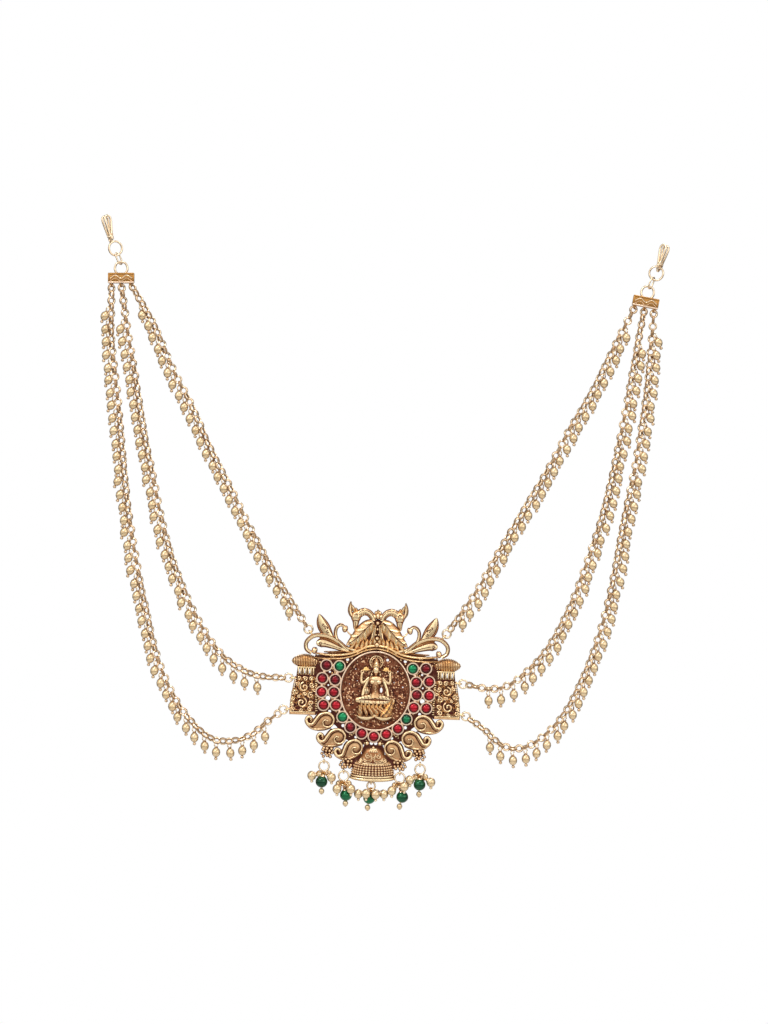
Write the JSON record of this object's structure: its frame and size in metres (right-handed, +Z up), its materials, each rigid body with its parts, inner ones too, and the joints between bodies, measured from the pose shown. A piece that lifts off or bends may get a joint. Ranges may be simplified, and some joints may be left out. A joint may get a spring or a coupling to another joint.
{
  "type": "hair braid ornament",
  "caption": "Cast pendant with a seated figure, stones and bead drops, hung on chains fringed with pearls between two hooks that pin into the hair.",
  "frame": {"origin": "inside of the left hook's bend, where it sits on its pin or a strand of hair", "axes": "+X towards the right hook, +Z up, the ornament's front faces -Y"},
  "size_m": [0.2045, 0.0062, 0.2141],
  "materials": {
    "antique_gold": "antique gold plate with dark recesses",
    "bright_gold": "polished gold plate",
    "orange_gold": "reddish gold plate",
    "copper": "reddish pierced ground, raised parts worn to gold",
    "ruby": "faceted red glass on foil",
    "emerald": "faceted green glass on foil",
    "beads": "champagne imitation pearls with gold tips, and green glass beads"
  },
  "bodies": {
    "root": {"hook_left": "bright_gold", "hook_right": "bright_gold", "jump_ring_left": "bright_gold", "jump_ring_right": "bright_gold", "small_link_left": "bright_gold", "small_link_right": "bright_gold", "end_bar_left": "orange_gold", "end_bar_right": "orange_gold", "chain_left_outer": "antique_gold", "chain_left_middle": "antique_gold", "chain_left_inner": "antique_gold", "chain_right_outer": "antique_gold", "chain_right_middle": "antique_gold", "chain_right_inner": "antique_gold", "connector_left_outer": "bright_gold", "connector_left_middle": "bright_gold", "connector_left_inner": "bright_gold", "connector_right_outer": "bright_gold", "connector_right_middle": "bright_gold", "connector_right_inner": "bright_gold", "pendant_frame": "antique_gold", "medallion_plaque": "copper", "stone_red_01": "ruby", "stone_red_02": "ruby", "stone_red_03": "ruby", "stone_red_04": "ruby", "stone_red_05": "ruby", "stone_red_06": "ruby", "stone_red_07": "ruby", "stone_red_08": "ruby", "stone_red_09": "ruby", "stone_red_10": "ruby", "stone_red_11": "ruby", "stone_red_12": "ruby", "stone_red_13": "ruby", "stone_red_14": "ruby", "stone_red_15": "ruby", "stone_red_16": "ruby", "stone_red_17": "ruby", "stone_red_18": "ruby", "stone_red_19": "ruby", "stone_green_01": "emerald", "stone_green_02": "emerald", "stone_green_03": "emerald", "stone_green_04": "emerald", "bead_cluster_1": "beads", "bead_cluster_2": "beads", "bead_cluster_3": "beads", "bead_cluster_4": "beads", "bead_cluster_5": "beads"}
  },
  "joints": []
}
